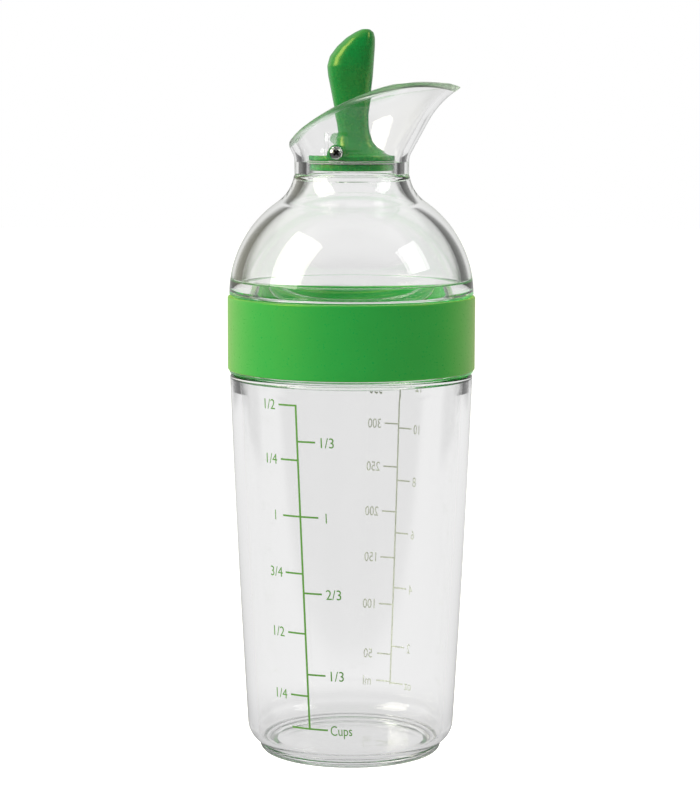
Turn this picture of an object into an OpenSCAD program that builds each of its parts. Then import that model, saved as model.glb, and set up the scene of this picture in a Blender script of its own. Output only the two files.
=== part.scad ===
// Dressing shaker bottle: a clear screw-top bottle with a domed lid, a soft grip band,
// a trumpet spout and a lever that tips a sealed stopper open. Millimetres, +Z up.
// The origin is on the bottle's axis at the foot, and +X is the way the spout pours.

/* [Bottle] */
// Height of the bottle from the foot to its rim
bottle_h = 139; // [130:1:150]
// How far the body under the lid stays inside the band's outer face
body_inset = 0.7; // [0.5:0.1:1.5]
// Diameter of the body just above its bottom corner
body_bottom_d = 64.4; // [60:0.4:72]
// How far the side bows outward between those two diameters
body_bow = 0.3; // [0:0.1:1]
// Wall thickness of the body
body_wall = 3; // [2.2:0.1:3.6]
// Radius of the outer bottom corner
bottom_corner_r = 7; // [5:0.5:9]
// How far the foot ring stays inside the body above the bottom corner
foot_inset = 3.9; // [3.4:0.1:6]
// Thickness of the shoulder under the lid, where the body steps in to the neck
shoulder_t = 1.4; // [1.2:0.1:2]
// Height of the foot ring
foot_h = 2; // [1.4:0.2:3]
// Upright part of the foot ring's side, over its rounding
foot_side_h = 0.2; // [0.1:0.1:0.4]
// Width of the flat that the bottle stands on
foot_land_w = 1.5; // [1:0.1:2.5]
// Depth of the hollow under the floor
punt_h = 1; // [0.5:0.1:1.4]
// Thickness of the floor above the hollow
floor_t = 3.2; // [2.5:0.1:5]

/* [Screw thread] */
// Height of the threaded neck above the shoulder
finish_h = 20.6; // [19:0.2:24]
// Wall thickness of the threaded neck
finish_wall = 2.5; // [2:0.1:3]
// Chamfer on the edges of the bottle's rim
rim_chamfer = 0.6; // [0.3:0.1:0.8]
// How far a thread ridge stands out of its wall
thread_h = 1.2; // [0.8:0.1:1.3]
// Advance of the lid in one turn
thread_lead = 10; // [8:0.5:12]
// Height of the first ridge's start above the shoulder
thread_start_h = 4.5; // [3:0.25:6]
// Number of thread starts
thread_starts = 2; // [1:1:2]
// Width of a ridge at its wall
thread_root_w = 2.2; // [1.6:0.1:2.4]
// Width of a ridge at its crest
thread_crest_w = 1; // [0.6:0.1:1.2]
// Length of each ridge on the bottle, in turns
bottle_thread_turns = 0.85; // [0.5:0.05:1]
// Length of each ridge in the lid, in turns
lid_thread_turns = 0.6; // [0.3:0.05:0.8]

/* [Lid] */
// Diameter over the grip band
band_d = 76.4; // [70:0.2:84]
// Thickness of the grip band
band_t = 1.3; // [1:0.1:1.6]
// Thickness of the skirt's wall behind the thread
skirt_wall = 2.1; // [1.6:0.1:3]
// Rounding of the band's edges
band_edge_r = 0.5; // [0.2:0.1:0.6]
// Height of the skirt's lip under the band
lip_h = 0.8; // [0.5:0.1:1.2]
// How far the dome and the lip stay inside the band's outer face
band_proud = 0.5; // [0.2:0.1:0.8]
// Groove between the band and the dome
band_groove = 0.5; // [0.2:0.1:1]
// Thickness of the skirt's top flange
flange_t = 2; // [1.6:0.1:3]
// Thickness of the plug lip that enters the bottle's mouth
plug_wall = 1.2; // [1:0.1:1.6]
// Length of the plug lip
plug_h = 4; // [2:0.5:6]
// Thickness of the gasket
gasket_t = 1.8; // [1.2:0.1:3]

/* [Dome] */
// Height of the dome from the skirt to the neck seam
dome_h = 36.8; // [33:0.2:40]
// How far the seam lies under the upright end of the neck's sweep
seam_drop = 1.5; // [0.5:0.1:2.5]
// Radius of the hollow sweep from the dome to the neck
neck_sweep_r = 12; // [11:0.5:13]
// Wall thickness of the dome
dome_wall = 3.4; // [3:0.1:3.8]
// Thickness of the welding ring at the dome's base
weld_ring_t = 3.8; // [2.5:0.1:5]
// Width of the welding ring and the dome's edge together
weld_ring_w = 6; // [5:0.2:7]
// How far the welding ring stays inside the dome's edge
weld_inset = 0.5; // [0.3:0.1:1]

/* [Spout] */
// Outer diameter of the neck
neck_d = 35.2; // [32:0.2:38]
// Wall thickness between the neck's outside and the bore that the stopper closes
neck_wall = 3.8; // [3.4:0.1:4.4]
// Depth of the spigot that the spout has inside the dome's neck
spigot_h = 2.4; // [1.6:0.2:6]
// Thickness of the spigot's wall
spigot_wall = 1.4; // [1:0.1:1.6]
// Straight height of the neck above the seam
neck_h = 3.9; // [3.6:0.1:4.1]
// How far the bore's edge rises past the neck's straight part
bore_rise = 0.28; // [0.2:0.02:0.4]
// Thickness of the spout's wall
spout_wall = 2.2; // [1.6:0.1:2.6]
// Angle of the spout's cone from upright
cone_angle = 28.5; // [26:0.5:30]
// Height of the cone's end above the seam
cone_end_h = 16.3; // [15:0.1:18]
// Radius of the sweep from the neck to the cone
cone_start_r = 6; // [4:0.5:8]
// Radius of the outward sweep at the spout's mouth
mouth_sweep_r = 26; // [24:1:32]
// Angle from upright at which that sweep ends
mouth_angle = 66; // [60:1:75]
// Height of the rim's highest point above the seam
rim_h = 28.55; // [26:0.25:30]
// Distance of the rim's highest point from the axis
rim_top_x = 21.5; // [18:0.5:24]
// Radius of the rim's front stretch, from the side
rim_front_r = 36; // [32:1:44]
// Radius of the rim's middle stretch
rim_mid_r = 76; // [70:1:90]
// Radius of the rim's back stretch
rim_back_r = 20; // [18:1:24]

/* [Stopper] */
// Thickness of the disc
disc_t = 2.1; // [1.5:0.1:2.4]
// Thickness of the seal
seal_t = 1; // [0.8:0.1:1.4]
// How far the seal stands out past the disc
seal_lip = 0.4; // [0.2:0.1:0.8]
// How far the disc stands out past the retainer
retainer_step = 0.3; // [0.1:0.1:1]
// Thickness of the ring that holds the seal
retainer_t = 2.1; // [1.5:0.1:3]
// Diameter of the hub under the disc
hub_d = 10; // [8:0.5:14]
// Height of the disc's underside above the neck seam
disc_z_above_seam = 4.4; // [4.2:0.1:4.8]

/* [Lever] */
// Height of the lever's tip above the pivot
lever_h = 37.1; // [32:0.5:42]
// Width of the paddle across the bottle's front
paddle_w = 15; // [11:0.5:18]
// Width of the lever's waist across the bottle's front
waist_w = 9.6; // [8:0.2:11]
// How square the lever's sections are, from 1 for round
lever_square = 0.75; // [0.6:0.05:1]

/* [Hinge] */
// Distance of the pivot behind the bottle's axis
pivot_back = 4.7; // [4:0.1:5.4]
// Diameter of the hinge barrel on the lever
barrel_d = 5; // [4.4:0.1:5]
// Diameter of the screws' shanks
shank_d = 2.2; // [1.8:0.1:2.6]
// Diameter of the screws' heads
head_d = 4; // [3.6:0.1:4.4]
// Height of the screws' heads
head_h = 1.3; // [1:0.1:1.6]
// Height of the crown on the screws' heads
head_crown = 0.8; // [0.5:0.1:1]
// Length of the cross recess in the heads
recess_l = 2.3; // [1.8:0.1:2.8]
// Width of the cross recess in the heads
recess_w = 0.64; // [0.5:0.02:0.8]
// Diameter of the raised pad round a screw
pad_d = 7; // [6.4:0.1:7.6]
// How far the pad's face stands out of the neck
pad_out = 0.9; // [0.6:0.1:1.4]
// How far the spout's inner pads stand out of the bore's wall
inner_pad_out = 0.4; // [0.3:0.1:0.8]
// How much smaller the inner pads are than the barrel, in radius
inner_pad_step = 0.1; // [0.1:0.1:0.5]
// Depth of the screw in the lever
screw_grip = 5; // [3:0.5:7]

/* [Clearances] */
// Height of the gap between the lid's lip and the bottle's shoulder
shoulder_gap = 0.5; // [0.3:0.1:1]
// Gap over and under the gasket
gasket_gap = 0.05; // [0.02:0.01:0.1]
// Gap between the gasket and the skirt's wall
gasket_rim_gap = 0.2; // [0.1:0.05:0.4]
// Gap between the gasket and the plug lip
gasket_plug_gap = 0.1; // [0.05:0.05:0.3]
// Gap between a thread's crest and the wall it faces
crest_gap = 0.4; // [0.3:0.1:0.5]
// Gap round the plug lip in the bottle's mouth
plug_gap = 0.4; // [0.3:0.1:0.6]
// Gap round the seal in the bore
seal_gap = 0.2; // [0.1:0.05:0.3]
// Gap between the barrel and the disc
barrel_gap = 0.1; // [0.05:0.05:0.2]
// Gap between the hinge barrel and the spout's inner pads
hinge_gap = 0.3; // [0.2:0.05:0.5]
// Running clearance round a screw's shank
shank_gap = 0.05; // [0.02:0.01:0.1]
// Gap round a screw's head in its pad
head_gap = 0.45; // [0.3:0.05:0.5]

/* [Hidden] */
$fn = 96;
cut = 1;
arc_steps = 14;

clear_grey = [0.86, 0.88, 0.87];
green = [0.25, 0.66, 0.28];

// Heights from the foot up
shoulder_z = bottle_h - finish_h;
skirt_z = shoulder_z + shoulder_gap;
gasket_z = bottle_h + gasket_gap;
flange_z = gasket_z + gasket_t + gasket_gap;
dome_z = flange_z + flange_t;
seam_z = dome_z + dome_h;

// Radii of the threaded joint, from the band inward
band_r = band_d / 2;
dome_r = band_r - band_proud;
skirt_r = band_r - band_t;
skirt_bore_r = skirt_r - skirt_wall;
bottle_crest_r = skirt_bore_r - crest_gap;
finish_r = bottle_crest_r - thread_h;
lid_crest_r = finish_r + crest_gap;
mouth_r = finish_r - finish_wall;
plug_r = mouth_r - plug_gap;
ridge_pitch = thread_lead / thread_starts;
ridge_bury = 0.4;
ridge_steps = 40;
ridge_fade_steps = 5;
ridge_end_step = 0.6;
bottle_thread_z = shoulder_z + thread_start_h;

// Body of the bottle
top_r = band_r - body_inset;
base_r = body_bottom_d / 2;
foot_r = base_r - foot_inset;
foot_round = foot_h - foot_side_h;
foot_corner_angle = -65;
shoulder_edge_r = 1;
floor_z = punt_h + floor_t;
inner_corner_r = 4;

// Neck, spout and stopper
neck_r = neck_d / 2;
bore_r = neck_r - neck_wall;
spigot_r = bore_r + spigot_wall;
seal_r = bore_r - seal_gap;
disc_r = seal_r - seal_lip;
disc_z = seam_z + disc_z_above_seam;
seal_z = disc_z - seal_t;
retainer_z = seal_z - retainer_t;
retainer_r = disc_r - retainer_step;
hub_r = hub_d / 2;
barrel_r = barrel_d / 2;
pivot_z = disc_z + barrel_r + barrel_gap;
inner_pad_y = bore_r - inner_pad_out;
inner_pad_r = barrel_r - inner_pad_step;
pad_bury = 0.4;
barrel_y = inner_pad_y - hinge_gap;
pad_y = neck_r + pad_out;
shank_r = shank_d / 2;
head_r = head_d / 2;
head_y = pad_y - head_h;
crown_r = (pow(head_r, 2) + pow(head_crown, 2)) / (2 * head_crown);

function arc(c, r, a0, a1) =
    [for (i = [0 : arc_steps]) let (a = a0 + (a1 - a0) * i / arc_steps) c + r * [cos(a), sin(a)]];

// A shallow arc between two points, bowed outward by the given amount
function bowed(p, q, bow) =
    [for (i = [0 : arc_steps]) let (t = i / arc_steps) p + (q - p) * t + [4 * bow * t * (1 - t), 0]];

// Radius of the bottle's outer side at a height
function side_r(z) =
    let (t = (z - foot_h - bottom_corner_r) / (shoulder_z - foot_h - bottom_corner_r))
    base_r + (top_r - base_r) * t + 4 * body_bow * t * (1 - t);

// A helical ridge on a wall. Its height fades in and out at the ends.
module thread_ridge(wall_r, crest_r, z0, turns) {
    side = sign(crest_r - wall_r);
    rings = [for (i = [0 : ridge_steps])
        let (
            a = 360 * turns * i / ridge_steps,
            z = z0 + thread_lead * turns * i / ridge_steps,
            to_end = min(i, ridge_steps - i) + ridge_end_step,
            part = min(1, to_end / ridge_fade_steps),
            crest = wall_r + (crest_r - wall_r) * part,
            foot = wall_r - side * ridge_bury
        )
        for (p = [[foot, -thread_root_w / 2], [crest, -thread_crest_w / 2],
                  [crest, thread_crest_w / 2], [foot, thread_root_w / 2]])
            [p[0] * cos(a), p[0] * sin(a), z + p[1]]];
    quads = [for (i = [0 : ridge_steps - 1], k = [0 : 3])
        let (n = (k + 1) % 4) [4 * i + k, 4 * i + n, 4 * i + 4 + n, 4 * i + 4 + k]];
    last = 4 * ridge_steps;
    faces = concat([[3, 2, 1, 0]], quads, [[last, last + 1, last + 2, last + 3]]);
    outward = side > 0 ? faces : [for (f = faces) [for (i = [len(f) - 1 : -1 : 0]) f[i]]];
    polyhedron(points = rings, faces = [for (f = outward) each [[f[0], f[1], f[2]], [f[0], f[2], f[3]]]]);
}

module threads(wall_r, crest_r, z0, turns) {
    for (s = [0 : thread_starts - 1])
        rotate([0, 0, s * 360 / thread_starts]) thread_ridge(wall_r, crest_r, z0, turns);
}

// Outer and inner outlines of the bottle, as one closed section
function bottle_section() =
    let (
        corner_z = foot_h + bottom_corner_r,
        corner_in = side_r(corner_z),
        in_top = shoulder_z - shoulder_t,
        in_floor_r = side_r(floor_z + inner_corner_r) - body_wall
    )
    concat(
        [[0, punt_h], [foot_r - foot_round - foot_land_w - punt_h, punt_h]],
        [[foot_r - foot_round - foot_land_w, 0]],
        arc([foot_r - foot_round, foot_round], foot_round, -90, 0),
        [[foot_r, foot_h]],
        arc([corner_in - bottom_corner_r, corner_z], bottom_corner_r, foot_corner_angle, 0),
        bowed([corner_in, corner_z], [top_r, shoulder_z - shoulder_edge_r], body_bow),
        arc([top_r - shoulder_edge_r, shoulder_z - shoulder_edge_r], shoulder_edge_r, 0, 90),
        [[finish_r, shoulder_z], [finish_r, bottle_h - rim_chamfer]],
        [[finish_r - rim_chamfer, bottle_h], [mouth_r + rim_chamfer, bottle_h]],
        [[mouth_r, bottle_h - rim_chamfer], [mouth_r, in_top]],
        [[side_r(in_top) - body_wall, in_top]],
        bowed([side_r(in_top) - body_wall, in_top],
              [in_floor_r, floor_z + inner_corner_r], body_bow),
        arc([in_floor_r - inner_corner_r, floor_z + inner_corner_r], inner_corner_r, 0, -90),
        [[0, floor_z]]
    );

module bottle() {
    color(clear_grey) {
        rotate_extrude() polygon(bottle_section());
        threads(finish_r, bottle_crest_r, bottle_thread_z, bottle_thread_turns);
    }
}

module ring(r_out, r_in, h) {
    difference() {
        cylinder(r = r_out, h = h);
        translate([0, 0, -cut]) cylinder(r = r_in, h = h + 2 * cut);
    }
}

module lid_gasket() {
    color(green)
        translate([0, 0, gasket_z])
            ring(skirt_bore_r - gasket_rim_gap, plug_r + gasket_plug_gap, gasket_t);
}

// The clear ring that screws on: lower lip, threaded wall, top flange and plug lip
module threaded_skirt() {
    section = [
        [skirt_bore_r, skirt_z], [dome_r, skirt_z], [dome_r, skirt_z + lip_h],
        [skirt_r, skirt_z + lip_h], [skirt_r, dome_z], [plug_r - plug_wall, dome_z],
        [plug_r - plug_wall, flange_z - plug_h], [plug_r, flange_z - plug_h],
        [plug_r, flange_z], [skirt_bore_r, flange_z]
    ];
    color(clear_grey) {
        rotate_extrude() polygon(section);
        threads(skirt_bore_r, lid_crest_r, bottle_thread_z + ridge_pitch / 2, lid_thread_turns);
    }
}

module grip_band() {
    z0 = skirt_z + lip_h;
    z1 = dome_z - band_groove;
    e = band_edge_r;
    color(green) rotate_extrude() polygon(concat(
        [[skirt_r, z0]], arc([band_r - e, z0 + e], e, -90, 0),
        arc([band_r - e, z1 - e], e, 0, 90), [[skirt_r, z1]]
    ));
}

// Profile of the dome: one arc for its side and one for the sweep into the neck. The side's
// radius is the one at which the two arcs meet with no corner.
sweep_h = dome_h + seam_drop;
sweep_in = dome_r - neck_r - neck_sweep_r;
dome_arc_r = (pow(sweep_h, 2) + pow(sweep_in, 2) - pow(neck_sweep_r, 2))
    / (2 * (neck_sweep_r + sweep_in));
dome_c = [dome_r - dome_arc_r, dome_z];
sweep_c = [neck_r + neck_sweep_r, dome_z + sweep_h];
sweep_a = atan2(sweep_h, sweep_c[0] - dome_c[0]);
function sweep_end(r) = 180 + asin(seam_drop / r);
function dome_line(wall) = concat(
    arc(dome_c, dome_arc_r - wall, 0, sweep_a),
    arc(sweep_c, neck_sweep_r + wall, sweep_a + 180, sweep_end(neck_sweep_r + wall))
);

module shoulder_dome() {
    inner = dome_line(dome_wall);
    color(clear_grey) difference() {
        union() {
            rotate_extrude() polygon(concat(
                dome_line(0), [for (i = [len(inner) - 1 : -1 : 0]) inner[i]]
            ));
            translate([0, 0, dome_z])
                ring(dome_r - weld_inset, dome_r - weld_ring_w, weld_ring_t);
        }
        translate([0, 0, seam_z - spigot_h]) cylinder(r = spigot_r, h = spigot_h + cut);
    }
}

// Profile of the spout: neck, sweep, cone and mouth sweep, offset inward by the wall
cone_start = [neck_r + cone_start_r * (1 - cos(cone_angle)),
              seam_z + neck_h + cone_start_r * sin(cone_angle)];
cone_end = cone_start + (seam_z + cone_end_h - cone_start[1]) * [tan(cone_angle), 1];
mouth_c = cone_end + mouth_sweep_r * [cos(cone_angle), -sin(cone_angle)];
mouth_a = 180 - mouth_angle;
function spout_line(wall) = concat(
    arc([neck_r + cone_start_r, seam_z + neck_h], cone_start_r + wall, 180, 180 - cone_angle),
    arc(mouth_c, mouth_sweep_r + wall, 180 - cone_angle, mouth_a)
);

// Side view of what the arched rim leaves standing: three arcs, from the pouring end back
rim_start_a = 40;
rim_mid_a = 103;
rim_back_a = 126;
rim_end_a = 170;
front_c = [rim_top_x, seam_z + rim_h - rim_front_r];
mid_c = front_c - (rim_mid_r - rim_front_r) * [cos(rim_mid_a), sin(rim_mid_a)];
back_c = mid_c + (rim_mid_r - rim_back_r) * [cos(rim_back_a), sin(rim_back_a)];
rim_far = 2 * neck_r + rim_top_x;
module rim_side_view() {
    low = seam_z - spigot_h - cut;
    polygon(concat(
        [[rim_far, low]],
        arc(front_c, rim_front_r, rim_start_a, rim_mid_a),
        arc(mid_c, rim_mid_r, rim_mid_a, rim_back_a),
        arc(back_c, rim_back_r, rim_back_a, rim_end_a),
        [[back_c[0] - rim_back_r, low]]
    ));
}

module along_y(x, z, y0, y1, r) {
    translate([x, y0, z]) rotate([-90, 0, 0]) cylinder(r = r, h = y1 - y0);
}

module pour_spout() {
    inner = spout_line(spout_wall);
    trumpet = concat(
        [[neck_r, seam_z]], spout_line(0), [for (i = [len(inner) - 1 : -1 : 0]) inner[i]],
        [[bore_r, seam_z + neck_h + bore_rise]],
        [[bore_r, seam_z - spigot_h], [spigot_r, seam_z - spigot_h], [spigot_r, seam_z]]
    );
    color(clear_grey) difference() {
        union() {
            intersection() {
                rotate_extrude() polygon(trumpet);
                rotate([90, 0, 0]) linear_extrude(height = 2 * rim_far, center = true)
                    rim_side_view();
            }
            for (s = [0, 1]) mirror([0, s, 0]) {
                difference() {
                    along_y(-pivot_back, pivot_z, bore_r, pad_y, pad_d / 2);
                    rotate_extrude() polygon(concat(
                        [[0, seam_z], [neck_r - spout_wall / 2, seam_z]],
                        spout_line(spout_wall / 2), [[0, mouth_c[1]]]
                    ));
                }
                along_y(-pivot_back, pivot_z, inner_pad_y, neck_r - pad_bury, inner_pad_r);
            }
        }
        for (s = [0, 1]) mirror([0, s, 0]) {
            along_y(-pivot_back, pivot_z, bore_r / 2, pad_y + cut, shank_r + shank_gap);
            along_y(-pivot_back, pivot_z, head_y, pad_y + cut, head_r + head_gap);
        }
    }
}

// Lever sections from the disc up: height as a share of lever_h, back and front edge, and
// half width as a share between the waist and the paddle
lever_sections = [
    [-0.045, -6.6, 12.8, 0.4], [-0.012, -6.2, 12.2, 0.3], [0.014, -5.9, 10, 0.2], [0.048, -5.1, 7.8, 0.1],
    [0.095, -4.4, 6.4, 0], [0.167, -4.2, 5.5, 0], [0.225, -4.5, 5.2, 0], [0.33, -5.2, 5.1, 0.1],
    [0.5, -6.4, 5.9, 0.5], [0.62, -7.3, 6.4, 0.85],
    [0.7, -7.6, 6.6, 1], [0.78, -6.8, 6.8, 1], [0.86, -4.6, 7, 0.9], [0.93, -1.8, 7, 0.65],
    [0.975, 0.8, 6.6, 0.4], [1, 2.8, 5.4, 0.1]
];
lever_sides = 32;

module lever_arm() {
    rings = [for (s = lever_sections)
        let (
            z = pivot_z + s[0] * lever_h,
            mid = (s[1] + s[2]) / 2,
            half = (s[2] - s[1]) / 2,
            w = (waist_w + (paddle_w - waist_w) * s[3]) / 2
        )
        for (k = [0 : lever_sides - 1])
            let (a = 360 * k / lever_sides, c = cos(a), d = sin(a))
            [mid + half * sign(c) * pow(abs(c), lever_square), w * sign(d) * pow(abs(d), lever_square), z]];
    n = lever_sides;
    top = len(lever_sections) - 1;
    polyhedron(points = rings, faces = concat(
        [[for (k = [0 : n - 1]) k]],
        [for (i = [0 : top - 1], k = [0 : n - 1])
            let (m = (k + 1) % n) each [[i * n + k, (i + 1) * n + k, (i + 1) * n + m],
                                        [i * n + k, (i + 1) * n + m, i * n + m]]],
        [[for (k = [n - 1 : -1 : 0]) top * n + k]]
    ));
}

module stopper_lever() {
    color(green) difference() {
        union() {
            translate([0, 0, disc_z]) cylinder(r = disc_r, h = disc_t);
            translate([0, 0, retainer_z]) cylinder(r = hub_r, h = disc_z - retainer_z + cut);
            intersection() {
                along_y(-pivot_back, pivot_z, -barrel_y, barrel_y, barrel_r);
                translate([-neck_r, -neck_r, disc_z]) cube(2 * neck_r);
            }
            lever_arm();
        }
        for (s = [0, 1]) mirror([0, s, 0])
            along_y(-pivot_back, pivot_z, barrel_y - screw_grip, barrel_y + cut, shank_r);
    }
}

module stopper_seal() {
    color([0.85, 0.9, 0.8]) translate([0, 0, seal_z]) ring(seal_r, hub_r, seal_t);
}

module seal_retainer() {
    color(green) translate([0, 0, retainer_z]) ring(retainer_r, hub_r, retainer_t);
}

// Pan-head screw with a cross recess, its axis along -Y and its head outermost
module hinge_screw() {
    color("silver") translate([-pivot_back, 0, pivot_z]) rotate([90, 0, 0]) difference() {
        union() {
            translate([0, 0, barrel_y - screw_grip])
                cylinder(r = shank_r, h = head_y - barrel_y + screw_grip);
            translate([0, 0, head_y]) rotate_extrude() polygon(concat(
                [[0, 0], [head_r, 0]],
                arc([0, head_h - crown_r], crown_r, acos(head_r / crown_r), 90)
            ));
        }
        translate([0, 0, pad_y]) for (a = [45, 135]) rotate([0, 0, a])
            cube([recess_l, recess_w, head_h], center = true);
    }
}

module hinge_screw_front() { hinge_screw(); }
module hinge_screw_back() { mirror([0, 1, 0]) hinge_screw(); }

bottle();
lid_gasket();
threaded_skirt();
grip_band();
shoulder_dome();
pour_spout();
stopper_lever();
stopper_seal();
seal_retainer();
hinge_screw_front();
hinge_screw_back();
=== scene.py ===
import math

import bmesh
import bpy
import numpy as np
from mathutils import Matrix

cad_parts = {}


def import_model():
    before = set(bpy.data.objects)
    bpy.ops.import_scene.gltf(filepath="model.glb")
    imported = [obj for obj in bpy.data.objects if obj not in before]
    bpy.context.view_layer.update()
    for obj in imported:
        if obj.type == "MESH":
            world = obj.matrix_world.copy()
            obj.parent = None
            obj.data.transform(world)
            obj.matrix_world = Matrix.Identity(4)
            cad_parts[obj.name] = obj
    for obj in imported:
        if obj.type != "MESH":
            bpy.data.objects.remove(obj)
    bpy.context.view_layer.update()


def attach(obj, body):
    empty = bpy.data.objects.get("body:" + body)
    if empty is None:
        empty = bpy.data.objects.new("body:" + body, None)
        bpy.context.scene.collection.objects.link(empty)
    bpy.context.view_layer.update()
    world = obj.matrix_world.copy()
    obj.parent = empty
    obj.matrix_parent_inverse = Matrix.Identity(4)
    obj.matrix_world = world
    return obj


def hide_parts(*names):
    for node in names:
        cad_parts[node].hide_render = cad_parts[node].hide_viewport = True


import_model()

# The object's sizes are in millimetres, in the CAD frame, and its meshes are made in metres. The
# floor, the lamps and the camera are in metres.
MM = 0.001
# How far a welded face stays off its joint, and a gap that keeps other faces apart
WELD_GAP = 0.01
SEAM_GAP = 0.04
# How far a face may lie outside a zone and still count as inside it
ZONE_SLACK = 0.006

# Heights
SHOULDER_Z = 118.4
SHOULDER_T = 1.4
SKIRT_Z = 118.9
LIP_H = 0.8
GASKET_Z = 139.05
GASKET_T = 1.8
FLANGE_Z = 140.9
DOME_Z = 142.9
SEAM_Z = 179.7
RIM_Z = 139.0

# Bottle
TOP_R = 37.5
BASE_R = 32.2
BOW = 0.3
WALL = 3.0
CORNER_Z = 9.0
CORNER_R = 7.0
FOOT_R = 28.3
FOOT_H = 2.0
FOOT_ROUND = 1.8
FOOT_FILLET = 0.35
LAND_W = 1.5
LAND_ROUND = 0.5
PUNT_H = 1.0
PUNT_EDGE = 1.2
PUNT_ROUND = 0.6
FLOOR_Z = 4.2
INNER_CORNER_R = 4.0
SHOULDER_ROUND = 1.0
UNDER_ROUND = 0.2
FINISH_CHAMFER = 0.3
RIM_ROUND = 0.6
# Radii of two rings of points on the flat middle of the floor, under it and on it
PUNT_RING_R = 10
FLOOR_RING_R = 12

# Thread and lid
FINISH_R = 33.2
MOUTH_R = 30.7
SKIRT_BORE_R = 34.8
THREAD_H = 1.2
THREAD_LEAD = 10.0
THREAD_ROOT = 2.2
THREAD_CREST = 1.0
THREAD_STARTS = 2
# Height of the first ridge's start above the shoulder, and turns of a ridge
BOTTLE_THREAD_H = 4.5
BOTTLE_TURNS = 0.85
LID_THREAD_H = 7
LID_TURNS = 0.6
# About the share of its turns over which a ridge rises to its height
THREAD_FADE = 1 / 8
# Height between the rings of points that carry a thread
THREAD_STEP = 0.16
SKIRT_R = 36.9
DOME_R = 37.7
DOME_IN_R = 31.7
BAND_R = 38.2
BAND_ROUND = 0.5
BAND_CHAMFER = 0.15
BAND_DROP = 0.5
LIP_GAP = 0.02
PLUG_R = 30.3
PLUG_IN_R = 29.1
PLUG_H = 3.4
GASKET_IN_GAP = 0.1
GASKET_OUT_GAP = 0.2
GASKET_ROUND = 0.3

# Neck, spout and stopper
NECK_R = 17.6
BORE_R = 13.8
SPIGOT_R = 15.2
SPIGOT_H = 2.4
SPOUT_WALL = 2.2
NECK_H = 3.9
BORE_TOP_Z = SEAM_Z + 4.18
DISC_R = 13.2
DISC_Z = 184.1
DISC_T = 2.1
SEAL_R = 13.6
SEAL_Z = 183.1
RETAINER_R = 12.9
RETAINER_Z = 181.0
HUB_R = 5.0
PIVOT = (-4.7, 186.7)
BARREL_R = 2.5
BARREL_Y = 13.1
PAD_Y = 18.5
PAD_R = 3.5
PAD_OUT = 0.9
# How far the raised U reaches along Y before it is trimmed, and how far its arms go up
PAD_REACH = 22.5
PAD_ARM_H = 5.0
# The raised U stands this far out of the flared wall. Over PAD_FADE_H below PAD_FADE_Z it sinks
# to the wall, and above that into it.
PAD_PROUD = 0.55
PAD_FADE_Z = 193.0
PAD_FADE_H = 3
PAD_BEVEL = 0.3
# Pads inside the bore, at the ends of the hinge barrel
INNER_PAD_Y = 13.42
INNER_PAD_STEP = 0.1
PAD_BURY = 0.4

# Screws
HEAD_R = 2.0
HEAD_H = 1.3
HEAD_EDGE = 0.1
CROWN = 0.8
SHANK_R = 1.1
SCREW_GRIP = 5.0
SHANK_HOLE_R = 1.15
HEAD_BORE_R = 2.45
RECESS_DEPTH = 0.8
# Half length and half width of an arm of the cross recess, at its bottom and above the crown
RECESS_LOW = (0.62, 0.16)
RECESS_HIGH = (1.3, 0.36)


def rad(degrees):
    return math.radians(degrees)


def arc(centre, radius, a0, a1, steps=20):
    angles = np.radians(np.linspace(a0, a1, steps + 1))
    return [(centre[0] + radius * math.cos(a), centre[1] + radius * math.sin(a)) for a in angles]


def dense(points, spacing):
    """The same open line, with points no farther apart than spacing."""
    out = [points[0]]
    for p, q in zip(points, points[1:]):
        n = max(1, int(math.ceil(math.dist(p, q) / spacing)))
        out += [(p[0] + (q[0] - p[0]) * i / n, p[1] + (q[1] - p[1]) * i / n) for i in range(1, n + 1)]
    return out


def add_object(name, verts, faces, sharp=32.0):
    """A smooth-shaded object from points in millimetres, its edges over sharp degrees kept crisp."""
    mesh = bpy.data.meshes.new(name)
    mesh.from_pydata([tuple(v) for v in np.asarray(verts, dtype=float) * MM], [], faces)
    mesh.validate()
    mesh.shade_smooth()
    if sharp:
        mesh.set_sharp_from_angle(angle=rad(sharp))
    obj = bpy.data.objects.new(name, mesh)
    bpy.context.scene.collection.objects.link(obj)
    return obj


def face_outward(obj):
    bm = bmesh.new()
    bm.from_mesh(obj.data)
    bmesh.ops.recalc_face_normals(bm, faces=bm.faces)
    bm.to_mesh(obj.data)
    bm.free()
    return obj


def within(values, low, high):
    return values.min() > low - ZONE_SLACK and values.max() < high + ZONE_SLACK


def welded(obj, zones):
    """Gives material 1 to the faces inside any zone (least and greatest radius, then height): the
    joint faces of welded or overmoulded pieces. Light crosses clear ones as if they weren't there."""
    mesh = obj.data
    points = np.empty(len(mesh.vertices) * 3)
    mesh.vertices.foreach_get("co", points)
    points = points.reshape(-1, 3) / MM
    radii = np.hypot(points[:, 0], points[:, 1])
    for p in mesh.polygons:
        ids = list(p.vertices)
        for r0, r1, z0, z1 in zones:
            if within(radii[ids], r0, r1) and within(points[ids, 2], z0, z1):
                p.material_index = 1
    return obj


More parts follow.
